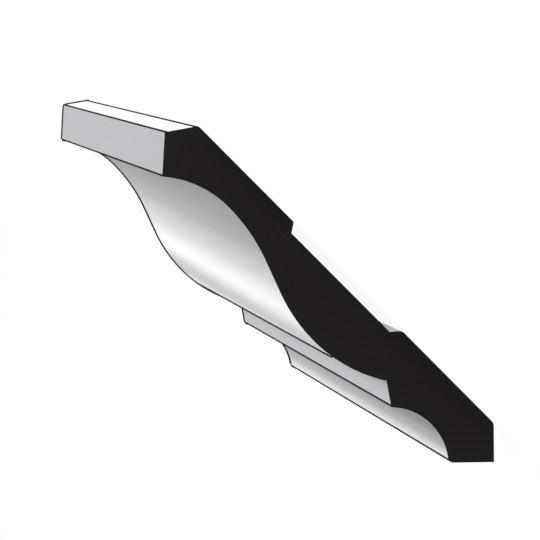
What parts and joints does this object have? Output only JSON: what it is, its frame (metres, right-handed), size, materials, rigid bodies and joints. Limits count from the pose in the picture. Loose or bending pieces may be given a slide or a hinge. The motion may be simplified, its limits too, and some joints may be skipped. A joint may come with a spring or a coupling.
{
  "type": "cornice moulding",
  "caption": "Short length of sprung cornice moulding: an ogee and a small cove between square fillets, angled ceiling and wall faces, relieved back.",
  "frame": {"origin": "on the plane of the two back pads, under the middle of the moulding's width and length", "axes": "+X towards the edge that meets the ceiling, +Y along the length, +Z out of the moulded face; the moulding lies on its back"},
  "size_m": [0.1048, 0.1524, 0.0153],
  "materials": {
    "painted_face": "wooden moulding with a satin cool white paint on its long faces and dark sealed cut ends"
  },
  "bodies": {
    "root": {"cornice_moulding": "painted_face"}
  },
  "joints": []
}
